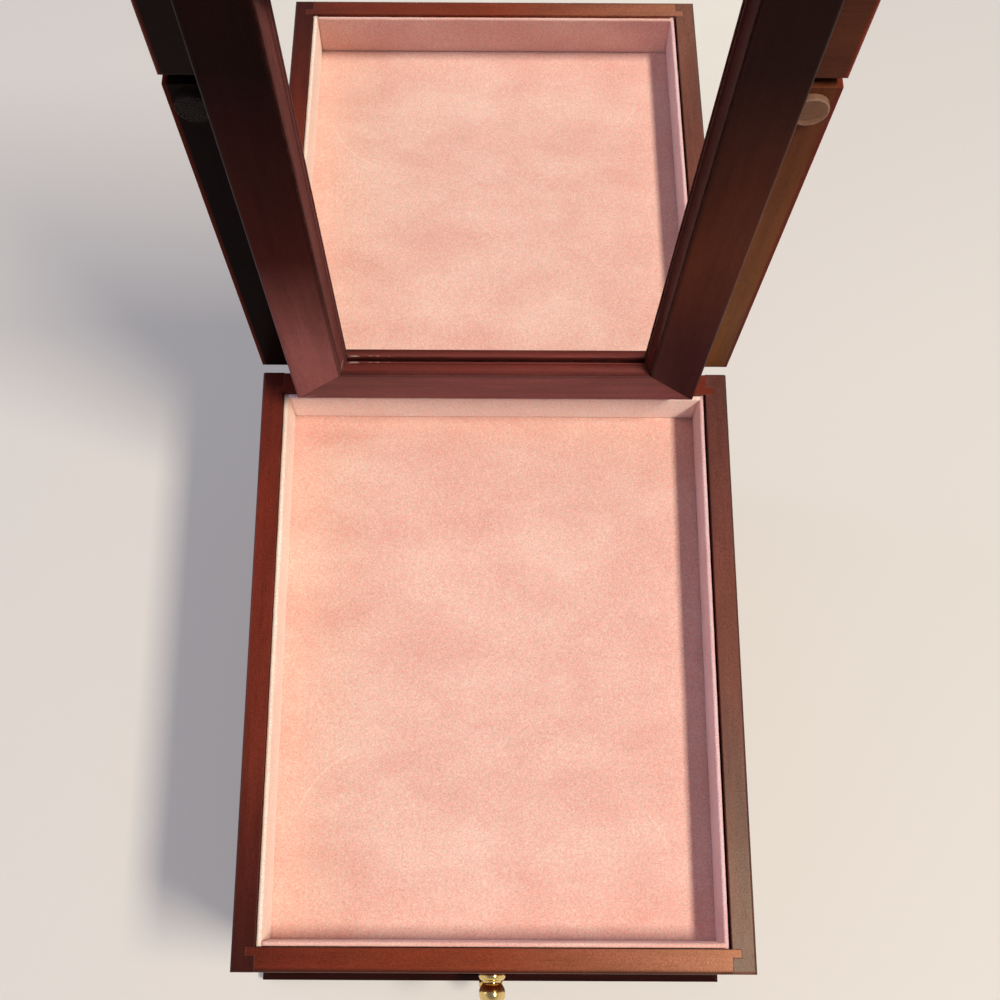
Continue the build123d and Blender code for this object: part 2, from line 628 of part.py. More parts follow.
def hinge_leaf(name, x, on_case):
    """Plate, knuckle and stop of one leaf. The case's leaf has the two outer knuckles."""
    section = leaf_plane(x, on_case)
    stop_angle = STOP_ANGLE if on_case else OPEN_ANGLE - STOP_ANGLE
    plate_y = LID_GAP / 2 - LEAF_T / 2
    plate_reach = PIN_BEHIND + LEAF_REACH
    own = (-1, 1) if on_case else (0,)
    other = (0,) if on_case else (-1, 1)
    hole = PIN_R if on_case else PIN_R + PIN_FIT
    with BuildPart() as leaf:
        with BuildSketch(section):
            with Locations((-plate_reach / 2, plate_y)):
                Rectangle(plate_reach, LEAF_T)
            with Locations(Location((0, 0), stop_angle)):
                with Locations((STOP_REACH / 2, STOP_GAP / 2 + STOP_T / 2)):
                    Rectangle(STOP_REACH, STOP_T)
        extrude(amount=HINGE_L / 2, both=True)
        for k in other:
            reach = SEGMENT + 2 * KNUCKLE_GAP
            with BuildSketch(section.offset(k * SEGMENT)):
                Circle(KNUCKLE_R + KNUCKLE_GAP)
            extrude(amount=reach / 2, both=True, mode=Mode.SUBTRACT)
        for k in own:
            with BuildSketch(section.offset(k * SEGMENT)):
                Circle(KNUCKLE_R)
            length = SEGMENT if on_case else SEGMENT - 2 * KNUCKLE_GAP
            extrude(amount=length / 2, both=True)
        with BuildSketch(section):
            Circle(hole)
        extrude(amount=HINGE_L, both=True, mode=Mode.SUBTRACT)
        for i in range(LEAF_SCREWS):
            dx = (i - (LEAF_SCREWS - 1) / 2) * LEAF_SCREW_PITCH
            with Locations(screw_plane(x + dx, on_case)):
                CounterSinkHole(SCREW_R + THREAD_FIT, SCREW_HEAD_R + THREAD_FIT,
                                depth=2 * LEAF_T)
    save(leaf, name)


def screw_plane(x, on_case):
    """Origin on the leaf's free face, with local Z pointing out of the screw's head."""
    if on_case:
        return Plane(origin=(x, leaf_screw_y(), RIM_Z + LEAF_T), z_dir=(0, 0, 1))
    return Plane(origin=LID.from_local_coords((x, LEAF_REACH / 2, LEAF_T)), z_dir=LID.z_dir)


for name, hand in (("left", -1), ("right", 1)):
    hinge_leaf(f"hinge_case_leaf_{name}", hand * HINGE_X, True)
    hinge_leaf(f"hinge_lid_leaf_{name}", hand * HINGE_X, False)
    with BuildPart() as pin:
        with BuildSketch(leaf_plane(hand * HINGE_X, True)):
            Circle(PIN_R)
        extrude(amount=HINGE_L / 2, both=True)
    save(pin, f"hinge_pin_{name}")

for name, on_case in (("hinge_screws_case", True), ("hinge_screws_lid", False)):
    with BuildPart() as screws:
        for x in leaf_screw_xs():
            head = screw_plane(x, on_case)
            taper = SCREW_HEAD_R - SCREW_R
            with BuildSketch(head):
                Circle(SCREW_HEAD_R)
            extrude(amount=-taper, taper=45)
            with BuildSketch(head):
                Circle(SCREW_R)
            extrude(amount=-SCREW_L)
    save(screws, name)
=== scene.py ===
"""Looks of the vanity box: lacquered mahogany, velvet linings, silvered mirror and brass."""

import math

import bmesh
import bpy
from mathutils import Matrix, Vector, noise


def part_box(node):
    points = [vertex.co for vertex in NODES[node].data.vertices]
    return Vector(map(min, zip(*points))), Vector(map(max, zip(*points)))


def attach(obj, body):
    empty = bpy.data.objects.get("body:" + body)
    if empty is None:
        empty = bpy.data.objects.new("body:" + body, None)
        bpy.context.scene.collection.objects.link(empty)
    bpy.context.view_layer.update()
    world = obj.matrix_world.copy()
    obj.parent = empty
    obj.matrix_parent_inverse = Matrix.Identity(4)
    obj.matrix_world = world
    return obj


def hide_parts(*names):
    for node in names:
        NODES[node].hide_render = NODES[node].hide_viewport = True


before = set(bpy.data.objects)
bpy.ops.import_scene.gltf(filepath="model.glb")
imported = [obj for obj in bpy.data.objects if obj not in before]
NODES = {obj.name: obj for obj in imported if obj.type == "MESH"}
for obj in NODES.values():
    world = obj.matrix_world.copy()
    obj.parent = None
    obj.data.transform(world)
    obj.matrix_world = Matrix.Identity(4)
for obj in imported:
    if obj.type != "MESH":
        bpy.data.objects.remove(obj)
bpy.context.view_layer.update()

# The open lid's plane. A place on it is x, the distance along it from its hinged edge, and the
# height off its underside.
OPEN = math.radians(93.5)
RUN = Vector((0, -math.cos(OPEN), math.sin(OPEN)))
INWARD = Vector((0, -math.sin(OPEN), -math.cos(OPEN)))
HINGE = Vector((0, 0.1617, 0.176))
# How far the hinge pin's centre is behind the lid's back edge, and off its underside.
PIN_BEHIND, PIN_OFF = 0.0017, 0.0015
LID_START = HINGE + RUN * PIN_BEHIND - INWARD * PIN_OFF
LID_TILT = math.atan2(RUN.z, RUN.y)


def on_lid(x, along, height):
    """The point at a place on the open lid."""
    return LID_START + Vector((x, 0, 0)) + RUN * along + INWARD * height


# ------------------------------------------------------------------ materials
class Nodes:
    """The nodes of a material or world, with short names for making them."""

    def __init__(self, owner):
        owner.use_nodes = True
        self.tree = owner.node_tree

    def give(self, socket, value):
        if isinstance(value, bpy.types.NodeSocket):
            self.tree.links.new(value, socket)
        elif socket.type == "RGBA" and len(value) == 3:
            socket.default_value = (*value, 1)
        else:
            socket.default_value = value

    def moved(self, vector, scale=(1, 1, 1), turn=(0, 0, 0), shift=(0, 0, 0)):
        n = self.tree.nodes.new("ShaderNodeMapping")
        self.give(n.inputs["Vector"], vector)
        self.give(n.inputs["Scale"], scale)
        self.give(n.inputs["Rotation"], turn)
        self.give(n.inputs["Location"], shift)
        return n.outputs[0]

    def noise(self, vector, scale, detail=2.0, rough=0.5, distortion=0.0):
        n = self.tree.nodes.new("ShaderNodeTexNoise")
        self.give(n.inputs["Vector"], vector)
        for key, value in (("Scale", scale), ("Detail", detail), ("Roughness", rough),
                           ("Distortion", distortion)):
            self.give(n.inputs[key], value)
        return n.outputs["Fac"]

    def ramp(self, factor, *stops):
        n = self.tree.nodes.new("ShaderNodeValToRGB")
        self.give(n.inputs[0], factor)
        colours = n.color_ramp.elements
        while len(colours) < len(stops):
            colours.new(0.5)
        for element, (place, colour) in zip(colours, stops):
            element.position = place
            element.color = (*colour, 1) if isinstance(colour, tuple) else (colour,) * 3 + (1,)
        return n.outputs[0]

    def mix(self, factor, a, b, mode="MIX"):
        n = self.tree.nodes.new("ShaderNodeMix")
        n.data_type, n.blend_type = "RGBA", mode
        self.give(n.inputs[0], factor)
        self.give(n.inputs[6], a)
        self.give(n.inputs[7], b)
        return n.outputs[2]

    def calc(self, operation, a, b=0.0):
        n = self.tree.nodes.new("ShaderNodeMath")
        n.operation = operation
        self.give(n.inputs[0], a)
        self.give(n.inputs[1], b)
        return n.outputs[0]

    def plus(self, a, b):
        return self.calc("ADD", a, b)

    def minus(self, a, b):
        return self.calc("SUBTRACT", a, b)

    def times(self, a, b):
        return self.calc("MULTIPLY", a, b)

    def higher(self, a, b):
        return self.calc("MAXIMUM", a, b)

    def absolute(self, a):
        return self.calc("ABSOLUTE", a)

    def hypot(self, a, b):
        return self.calc("POWER", self.plus(self.calc("POWER", a, 2.0),
                                            self.calc("POWER", b, 2.0)), 0.5)

    def parts(self, vector):
        """The x, y and z of a vector."""
        n = self.tree.nodes.new("ShaderNodeSeparateXYZ")
        self.give(n.inputs[0], vector)
        return tuple(n.outputs)

    def between(self, value, low, high, out_low=0.0, out_high=1.0):
        n = self.tree.nodes.new("ShaderNodeMapRange")
        for socket, number in zip(n.inputs[:5], (value, low, high, out_low, out_high)):
            self.give(socket, number)
        return n.outputs[0]

    def bump(self, height, distance, strength=1.0, normal=None):
        n = self.tree.nodes.new("ShaderNodeBump")
        self.give(n.inputs["Height"], height)
        self.give(n.inputs["Distance"], distance)
        self.give(n.inputs["Strength"], strength)
        if normal is not None:
            self.give(n.inputs["Normal"], normal)
        return n.outputs[0]

    def eased(self, radius):
        """A normal that rounds the arrises, and how near to one a point is."""
        n = self.tree.nodes.new("ShaderNodeBevel")
        n.samples = 6
        self.give(n.inputs["Radius"], radius)
        flat = self.tree.nodes.new("ShaderNodeNewGeometry").outputs["Normal"]
        dot = self.tree.nodes.new("ShaderNodeVectorMath")
        dot.operation = "DOT_PRODUCT"
        self.give(dot.inputs[0], n.outputs[0])
        self.give(dot.inputs[1], flat)
        near = self.between(dot.outputs["Value"], 0.985, 0.80)
        return n.outputs[0], near


class Surface(Nodes):
    """One material with one Principled shader."""

    def __init__(self, name):
        self.material = bpy.data.materials.new(name)
        super().__init__(self.material)
        self.tree.nodes.clear()
        output = self.tree.nodes.new("ShaderNodeOutputMaterial")
        self.shader = self.tree.nodes.new("ShaderNodeBsdfPrincipled")
        self.tree.links.new(self.shader.outputs[0], output.inputs[0])
        self.coords = self.tree.nodes.new("ShaderNodeTexCoord").outputs["Object"]

    def set(self, **values):
        for name, value in values.items():
            self.give(self.shader.inputs[name.replace("_", " ")], value)


# How a board's figure is stretched along its grain.
STRETCH = {"x": (0.055, 1, 1), "y": (1, 0.055, 1)}
# Half the case's width and depth, and the height of its rim.
HALF_W, HALF_D, RIM = 0.130, 0.160, 0.1745
LID_LENGTH = 0.320
# Where the mirror frame's inner moulding starts: from the middle, and up the open lid.
SIGHT_HALF, SIGHT_LOW = 0.0804, 0.0416
# How far inside a lid board's outer sides their tone starts, and where it is full.
FADE_START, FADE_FULL = 0.0026, 0.0014
MIDDLE = (0.165, 0.0250, 0.0125)
DARK = (0.070, 0.0130, 0.0090)
DARKEST = (0.024, 0.0040, 0.0030)


def lid_place(t):
    """How far a point is across and along the open lid."""
    x, y, z = t.parts(t.moved(t.coords, shift=-LID_START))
    along = t.plus(t.times(y, RUN.y), t.times(z, RUN.z))
    return x, along


def outer_sides(t, place, tilt):
    """A mask of a lid board's outer sides and front end, or of a case board below its rim.

    The lid's end at the hinges is left out, so the graded tones of its boards, with their painted
    light and shade, show there.
    """
    if not tilt:
        return t.between(place["z"], RIM - 0.0018, RIM - 0.0036)
    side = t.between(t.absolute(place["x"]), HALF_W - FADE_START, HALF_W - FADE_FULL)
    end = t.between(place["lid"], LID_LENGTH - FADE_START, LID_LENGTH - FADE_FULL)
    return t.higher(side, end)


def moulded(t, place, stain_and_painted_light, sight):
    """The tones with the tone of the frame's inner moulding, with painted reflection and shade in
    it, and a painted shade line in the quirk beside it.
    """
    inside = t.minus(SIGHT_HALF, t.absolute(place["x"]))
    inside = t.calc("MINIMUM", inside, t.minus(place["lid"], SIGHT_LOW))
    stain_and_painted_light = t.mix(t.between(inside, 0.0001, 0.0004), stain_and_painted_light, sight)
    # Painted shade: a dark line in the quirk between the face and the moulding.
    quirk = t.times(t.between(inside, -0.0016, -0.0008), t.between(inside, 0.0011, 0.0006))
    return t.mix(t.times(quirk, 0.5), stain_and_painted_light, (0.020, 0.0045, 0.0040))


def scuff_and_highlight_line(t, plan, start, stop, width):
    """A mask along a line on a board's plan, thin at both ends."""
    run = (stop[0] - start[0], stop[1] - start[1])
    length = math.hypot(*run)
    dx, dy = t.minus(plan[0], start[0]), t.minus(plan[1], start[1])
    forward = t.plus(t.times(dx, run[0] / length), t.times(dy, run[1] / length))
    aside = t.minus(t.times(dy, run[0] / length), t.times(dx, run[1] / length))
    bow = t.times(t.calc("SINE", t.times(forward, math.pi / length)), length * 0.05)
    near = t.between(t.absolute(t.minus(aside, bow)), width, 0.0)
    first = t.between(forward, 0.0, length * 0.3)
    last = t.between(forward, length, length * 0.8)
    return t.times(near, t.times(first, last))


def mahogany(name, grain, stain_and_painted_light, tilt=0.0, gloss=0.2, tint=(1, 1, 1), over=None, shade=None,
             sight=None, glint_amount=0.4, marks=()):
    """Dark red stain on a close-grained wood, under satin lacquer.

    stain_and_painted_light is its middle tone. Where it is uneven, it is a list of places and
    the tone at each, and over says which way they run and from where to where: across in x,
    deep in y, or up the open lid. These grades are painted light and shade: paler where light
    or sheen falls on the board, darker where it is shaded. They reach the face that shows in
    the open box, and the sides that outer_sides masks have the box's middle tone. shade is the
    same for an upper arris or edge with painted shade along it, with the height where that
    starts. sight is the tone of the moulding inside the mirror's frame, with painted reflection
    and shade in it, and glint_amount how strong the painted glints in the lacquer's colour are.
    marks are pale lines, each from one place to another on the board's upper face, with its
    width: partly scuffs and partly painted highlights on arrises and joints.
    """
    t = Surface(name)
    upright = t.moved(t.coords, turn=(-tilt, 0, 0))
    along = t.moved(upright, scale=STRETCH[grain])
    cloud = t.noise(t.moved(upright, scale=[0.15 + 0.85 * s for s in STRETCH[grain]]), 30, 4, 0.6)
    figure = t.noise(along, 210, 5, 0.62, 0.5)
    pores = t.noise(along, 1900, 3, 0.6)
    tone = t.plus(t.times(cloud, 0.65), t.times(figure, 0.35))
    place = {"lid": lid_place(t)[1]}
    place["x"], place["y"], place["z"] = t.parts(t.coords)
    # Painted light and shade: the graded tones below; outer_sides gives the outer faces the plain
    # middle tone instead.
    if over:
        stain_and_painted_light = t.ramp(t.between(place[over[0]], *over[1:]), *stain_and_painted_light)
    if tilt or over:
        stain_and_painted_light = t.mix(outer_sides(t, place, tilt), stain_and_painted_light, MIDDLE)
    if sight:
        stain_and_painted_light = moulded(t, place, stain_and_painted_light, sight)
    # Painted shade: a darker colour along the arris or edge that shade names, where it turns from
    # the light or lies under the part above.
    if shade:
        way, first, last, level = shade
        dark = t.times(t.between(place[way], first, last),
                       t.between(place["z"], level, level + 0.0010))
        stain_and_painted_light = t.mix(t.times(dark, 0.8), stain_and_painted_light, (0.010, 0.0025, 0.0020))
    colour = t.mix(1.0, stain_and_painted_light, t.between(tone, 0.32, 0.68, 0.62, 1.42), "MULTIPLY")
    # Painted glints: fine specks of paler, greyer colour stand in for the lacquer's sparkle.
    speck = t.noise(upright, 1700, 2, 0.6)
    painted_glints = t.ramp(speck, (0.34, (0.80, 0.60, 0.54)), (0.66, (1.20, 1.42, 1.50)))
    colour = t.mix(1.0, colour, t.mix(glint_amount, (1, 1, 1), painted_glints), "MULTIPLY")
    colour = t.mix(t.between(pores, 0.58, 0.74, 0.0, 0.5), colour, (0.014, 0.0040, 0.0035))
    normal, edge = t.eased(0.00055)
    # Paler arrises: partly wear, partly a painted highlight along them.
    wear_and_arris_highlight = t.times(edge, t.between(t.noise(upright, 160, 4, 0.7), 0.46, 0.72, 0.04, 0.50))
    if shade:
        wear_and_arris_highlight = t.times(wear_and_arris_highlight, t.between(dark, 0.0, 0.6, 1.0, 0.0))
    colour = t.mix(wear_and_arris_highlight, colour, (0.220, 0.0850, 0.0600))
    plan = (place["x"], place["lid"] if tilt else place["y"])
    # Pale lines: partly scuffs, partly painted highlights on arrises and joints.
    for start, stop, width in marks:
        line = t.times(scuff_and_highlight_line(t, plan, start, stop, width), 0.7)
        colour = t.mix(line, colour, (0.55, 0.38, 0.33))
    peel = t.noise(upright, 820, 2, 0.5)
    normal = t.bump(pores, 0.00002, 0.35, normal)
    normal = t.bump(peel, 0.00007, 0.60, normal)
    normal = t.bump(speck, 0.00004, 0.70, normal)
    rough = t.between(t.noise(upright, 60, 4, 0.6), 0.3, 0.7, 0.34, 0.44)
    t.set(Base_Color=colour, Roughness=rough, Normal=normal, Specular_IOR_Level=gloss, IOR=1.5,
          Specular_Tint=tint)
    return t.material


def plain_wood(name, grain, light, dark):
    """Unfinished wood: a soft figure along the grain, with fine dark flecks."""
    t = Surface(name)
    along = t.moved(t.coords, scale=STRETCH[grain])
    figure = t.noise(along, 170, 5, 0.6, 0.8)
    fleck = t.noise(along, 1300, 3, 0.6)
    colour = t.ramp(figure, (0.32, dark), (0.60, light))
    colour = t.mix(t.between(fleck, 0.55, 0.75, 0.0, 0.5), colour, tuple(c * 0.55 for c in dark))
    normal, edge = t.eased(0.0004)
    colour = t.mix(t.times(edge, 0.25), colour, tuple(min(1, c * 1.25) for c in light))
    normal = t.bump(fleck, 0.00005, 0.5, normal)
    t.set(Base_Color=colour, Roughness=t.between(figure, 0.3, 0.7, 0.62, 0.74), Normal=normal)
    return t.material


def ring(t, centre, radius, first, last, width):
    """A mask along part of a circle on the tray's floor, from one angle to another."""
    x, y, _ = t.parts(t.moved(t.coords, shift=(-centre[0], -centre[1], 0)))
    near = t.between(t.absolute(t.minus(t.hypot(x, y), radius)), width, 0.0)
    angle = t.calc("ARCTAN2", y, x)
    start = t.between(angle, math.radians(first), math.radians(first + 25))
    stop = t.between(angle, math.radians(last), math.radians(last - 25))
    return t.times(near, t.times(start, stop))


def velvet(name, deep, pale, worn=False):
    """Short dense pile: brushed patches, a fine nap and a soft sheen."""
    t = Surface(name)
    nap = t.noise(t.coords, 1500, 2, 0.7)
    fleck = t.noise(t.moved(t.coords, shift=(0.3, 0.7, 0.1)), 1250, 2, 0.7)
    tuft = t.noise(t.moved(t.coords, scale=(1, 0.55, 1)), 620, 3, 0.6)
    brushed = t.noise(t.moved(t.coords, scale=(0.8, 1.1, 1.1)), 24, 4, 0.6, 0.3)
    streak = t.noise(t.moved(t.coords, scale=(0.25, 2.0, 1.0)), 34, 3, 0.6)
    tone = t.plus(t.times(brushed, 0.68), t.times(streak, 0.08))
    tone = t.plus(tone, t.times(tuft, 0.24))
    colour = t.mix(t.between(tone, 0.34, 0.66), deep, pale)
    colour = t.mix(1.0, colour, t.between(nap, 0.28, 0.72, 0.80, 1.19), "MULTIPLY")
    colour = t.mix(1.0, colour, t.ramp(fleck, (0.36, (1.02, 0.84, 0.82)),
                                       (0.64, (0.99, 1.15, 1.18))), "MULTIPLY")
    lay = t.between(tone, 0.3, 0.7)
    if worn:
        marks = t.higher(ring(t, (-0.0559, -0.0956), 0.0504, 98, 178, 0.0008),
                         t.times(ring(t, (0.0546, -0.1081), 0.0386, -5, 66, 0.0008), 0.7))
        marks = t.times(marks, t.between(tuft, 0.35, 0.6, 0.15, 1.0))
        colour = t.mix(t.times(marks, 0.55), colour, (0.98, 0.78, 0.66))
        lay = t.minus(lay, t.times(marks, 0.6))
    normal = t.bump(lay, 0.0004, 0.35)
    normal = t.bump(tuft, 0.00018, 0.55, normal)
    normal = t.bump(nap, 0.00015, 0.85, normal)
    t.set(Base_Color=colour, Roughness=0.92, Normal=normal, Specular_IOR_Level=0.15,
          Sheen_Weight=0.8, Sheen_Roughness=0.40, Sheen_Tint=(1.0, 0.86, 0.80))
    return t.material


def felt(name, colour):
    """Pressed fibres: a fine fuzz with paler clumps."""
    t = Surface(name)
    fuzz = t.noise(t.coords, 1500, 4, 0.7)
    clump = t.noise(t.coords, 180, 4, 0.6)
    shade = t.mix(t.between(fuzz, 0.3, 0.7), tuple(c * 0.6 for c in colour),
                  tuple(c * 1.5 for c in colour))
    shade = t.mix(t.between(clump, 0.35, 0.65, 0.0, 0.4), shade, tuple(c * 1.9 for c in colour))
    normal = t.bump(clump, 0.0003, 0.4)
    normal = t.bump(fuzz, 0.0002, 0.8, normal)
    t.set(Base_Color=shade, Roughness=0.95, Normal=normal, Specular_IOR_Level=0.1,
          Sheen_Weight=0.2, Sheen_Roughness=0.5)
    return t.material


def metal(name, colour, rough, tarnish):
    """Polished metal with hairlines and clouds of tarnish."""
    t = Surface(name)
    cloud = t.noise(t.coords, 240, 4, 0.6)
    hair = t.noise(t.moved(t.coords, scale=(1, 0.2, 1)), 2600, 2, 0.5)
    normal, edge = t.eased(0.00015)
    shade = t.mix(t.between(cloud, 0.42, 0.70, 0.0, 0.5), colour, tarnish)
    t.set(Base_Color=shade, Metallic=1.0, Normal=t.bump(hair, 0.000004, 0.5, normal),
          Roughness=t.between(cloud, 0.3, 0.7, rough, rough + 0.09))
    return t.material


def silvered(name):
    """Mirror glass: a clean silver, a trace of green and clouds of dust."""
    t = Surface(name)
    dust = t.noise(t.coords, 55, 5, 0.6)
    shade = t.mix(t.between(dust, 0.4, 0.75, 0.0, 0.5), (0.97, 0.985, 0.975), (0.94, 0.955, 0.945))
    t.set(Base_Color=shade, Metallic=1.0, Roughness=t.between(dust, 0.45, 0.8, 0.004, 0.02))
    return t.material


def clear_rubber(name, centres, radius):
    """Clear stick-on bumper over brown wood, with a painted highlight on its moulded rim and
    painted shade over the left one.
    """
    t = Surface(name)
    haze = t.noise(t.coords, 260, 3, 0.6)
    x, along = lid_place(t)
    # Painted highlight: a pale ring just inside each bumper's edge.
    rim = 0.0
    for centre_x, centre_along in centres:
        away = t.hypot(t.minus(x, centre_x), t.minus(along, centre_along))
        near = t.between(t.absolute(t.minus(away, radius * 0.93)), 0.0006, 0.0)
        rim = t.higher(rim, near)
    body = t.mix(t.between(haze, 0.3, 0.7), (0.36, 0.185, 0.115), (0.44, 0.245, 0.160))
    body = t.mix(t.times(rim, 0.7), body, (0.62, 0.47, 0.38))
    # Painted shade: the left bumper is nearly black, like the shaded stile under it.
    t.set(Base_Color=t.mix(t.between(x, -0.05, 0.05), (0.050, 0.030, 0.024), body),
          Roughness=t.between(haze, 0.3, 0.7, 0.22, 0.32), Alpha=0.45, IOR=1.40,
          Specular_IOR_Level=0.2)
    return t.material


ALONG_SIDE = ("y", -HALF_D, HALF_D)
ALONG_FRONT = ("x", -HALF_W, HALF_W)
UP_LID = ("lid", 0.0, LID_LENGTH)
MAHOGANY = {
    # Painted shade: much darker at the front end and somewhat darker at the back end.
    "rim_left": mahogany("mahogany_side", "y",
                         [(0.0, (0.050, 0.0085, 0.0058)), (0.35, (0.155, 0.0250, 0.0125)),
                          (0.75, (0.165, 0.0245, 0.0120)), (1.0, (0.105, 0.0170, 0.0105))],
                         gloss=0.14, over=ALONG_SIDE, glint_amount=0.8),
    # Painted sheen: paler and greyer towards the front end, darker towards the back; painted shade
    # along the outer arris.
    "rim_right": mahogany("mahogany_side_right", "y",
                          [(0.0, (0.155, 0.0600, 0.0390)), (0.5, (0.160, 0.0400, 0.0270)),
                           (1.0, (0.110, 0.0340, 0.0270))],
                          gloss=0.26, tint=(0.75, 1.0, 0.88), over=ALONG_SIDE,
                          shade=("x", 0.1284, 0.1297, RIM - 0.0022), glint_amount=0.9),
    # Painted sheen: paler and more orange towards the right end, darker at the left; painted shade
    # along the front arris; the pale lines at the left joint are partly scuffs, partly painted
    # highlights.
    "rim_front": mahogany("mahogany_front", "x",
                          [(0.0, (0.086, 0.0102, 0.0064)), (0.5, (0.212, 0.0320, 0.0125)),
                           (1.0, (0.290, 0.1180, 0.0710))],
                          gloss=0.42, tint=(1.0, 0.55, 0.32), over=ALONG_FRONT,
                          shade=("y", -0.1574, -0.1592, RIM - 0.0022), glint_amount=1.0,
                          marks=[((-0.1225, -0.1525), (-0.1225, -0.1476), 0.00035),
                                 ((-0.1180, -0.1600), (-0.1180, -0.1516), 0.00035),
                                 ((-0.1228, -0.1479), (-0.1150, -0.1479), 0.00025)]),
    # Painted shade along the top edge of the upper drawer front.
    "drawer": mahogany("mahogany_drawer_front", "x", MIDDLE, gloss=0.08, tint=(1, 0.8, 0.7),
                       shade=("z", 0.1360, 0.1374, 0.1350)),
    "across": mahogany("mahogany_across", "x", MIDDLE),
    "plinth_x": mahogany("mahogany_plinth_across", "x", DARKEST, gloss=0.02),
    "plinth_y": mahogany("mahogany_plinth_deep", "y", DARKEST, gloss=0.02),
    "lid_top": mahogany("mahogany_lid_top", "y", MIDDLE, LID_TILT, gloss=0.30),
    "lid_rail": mahogany("mahogany_lid_rail", "x", DARK, LID_TILT, gloss=0.06),
    # Painted shade: nearly black at the left end, browner towards the right.
    "lid_front": mahogany("mahogany_lid_front", "x",
                          [(0.0, (0.012, 0.0040, 0.0030)), (1.0, (0.095, 0.0280, 0.0140))],
                          LID_TILT, gloss=0.06, over=ALONG_FRONT),
    # Painted shade: nearly black, as where the frame shades it.
    "stile_left": mahogany("mahogany_stile_left", "y", (0.008, 0.0028, 0.0022), LID_TILT,
                           gloss=0.03),
    # Painted light: paler and browner near the hinges, darker up the lid.
    "stile_right": mahogany("mahogany_stile_right", "y",
                            [(0.15, (0.230, 0.0900, 0.0320)), (0.65, (0.140, 0.0400, 0.0160))],
                            LID_TILT, gloss=0.06, over=UP_LID),
    # Painted reflection of the pink lining low on the lid, fading to painted shade near its top;
    # the moulding's paler tone is a painted reflection and the pale line at its corner a painted
    # highlight.
    "frame_left": mahogany("mahogany_frame_left", "y",
                           [(0.20, (0.290, 0.1050, 0.1000)), (0.45, (0.060, 0.0110, 0.0090)),
                            (0.80, (0.009, 0.0020, 0.0017))], LID_TILT, gloss=0.03, over=UP_LID,
                           sight=(0.150, 0.0480, 0.0440),
                           marks=[((-0.0797, 0.0440), (-0.0780, 0.0500), 0.00040)]),
    # Painted reflection and shade: mauve low, brown in the middle, nearly black at the top; the
    # moulding's darker tone is painted shade.
    "frame_right": mahogany("mahogany_frame_right", "y",
                            [(0.20, (0.048, 0.0130, 0.0135)), (0.45, (0.085, 0.0210, 0.0105)),
                             (0.80, (0.014, 0.0035, 0.0028))], LID_TILT, gloss=0.04, over=UP_LID,
                            sight=(0.070, 0.0150, 0.0120)),
    # Painted reflection: a rosy mauve tone for the pink lining's sheen on the rails; the pale
    # lines at the left corner and along the moulding are painted highlights, partly scuffs.
    "frame_across": mahogany("mahogany_frame_across", "x", (0.195, 0.0590, 0.0590), LID_TILT,
                             gloss=0.10, sight=(0.138, 0.0265, 0.0212),
                             marks=[((-0.1045, 0.0162), (-0.0955, 0.0198), 0.00035),
                                    ((-0.0798, 0.0424), (-0.0768, 0.0462), 0.00060),
                                    ((-0.0785, 0.0444), (-0.0700, 0.0450), 0.00030),
                                    ((-0.0660, 0.0452), (-0.0600, 0.0452), 0.00022),
                                    ((-0.0560, 0.0452), (-0.0470, 0.0454), 0.00022)]),
}
BEECH_X = plain_wood("plain_wood_across", "x", (0.56, 0.38, 0.22), (0.42, 0.26, 0.14))
BEECH_Y = plain_wood("plain_wood_deep", "y", (0.56, 0.38, 0.22), (0.42, 0.26, 0.14))
PLY = plain_wood("plywood_face", "y", (0.60, 0.43, 0.27), (0.47, 0.31, 0.18))
VELVET = velvet("velvet_pink", (0.80, 0.455, 0.392), (0.88, 0.590, 0.503))
VELVET_FLOOR = velvet("velvet_pink_floor", (0.76, 0.433, 0.366), (0.86, 0.596, 0.507), worn=True)
# Lit and shaded copies of one velvet: the left and back linings are paler with painted light, the
# right lining cooler with the cool cast of its shade painted in.
VELVET_LIT = velvet("velvet_pink_lit", (0.93, 0.730, 0.605), (0.98, 0.870, 0.745))
VELVET_BACK_PAINTED_LIGHT = velvet("velvet_pink_back_painted_light", (0.97, 0.735, 0.655), (1.0, 0.865, 0.795))
VELVET_COOL_PAINTED_SHADE = velvet("velvet_pink_cool_painted_shade", (0.76, 0.480, 0.480), (0.86, 0.620, 0.630))
FELT = felt("felt_dark", (0.040, 0.022, 0.018))
BRASS = metal("brass_polished", (0.86, 0.62, 0.25), 0.10, (0.62, 0.40, 0.13))
STEEL = metal("steel_plated", (0.60, 0.60, 0.61), 0.28, (0.42, 0.41, 0.40))
SILVER = silvered("mirror_silver")
BUMPERS = [(hand * 0.1197, 0.2062) for hand in (-1, 1)]
RUBBER = clear_rubber("clear_rubber", BUMPERS, 0.0075)


def dress(node, material):
    """Puts the material into the CAD object's slots."""
    slots = NODES[node].material_slots
    if not slots:
        NODES[node].data.materials.append(material)
    for s in NODES[node].material_slots:
        s.link = "OBJECT"
        s.material = material


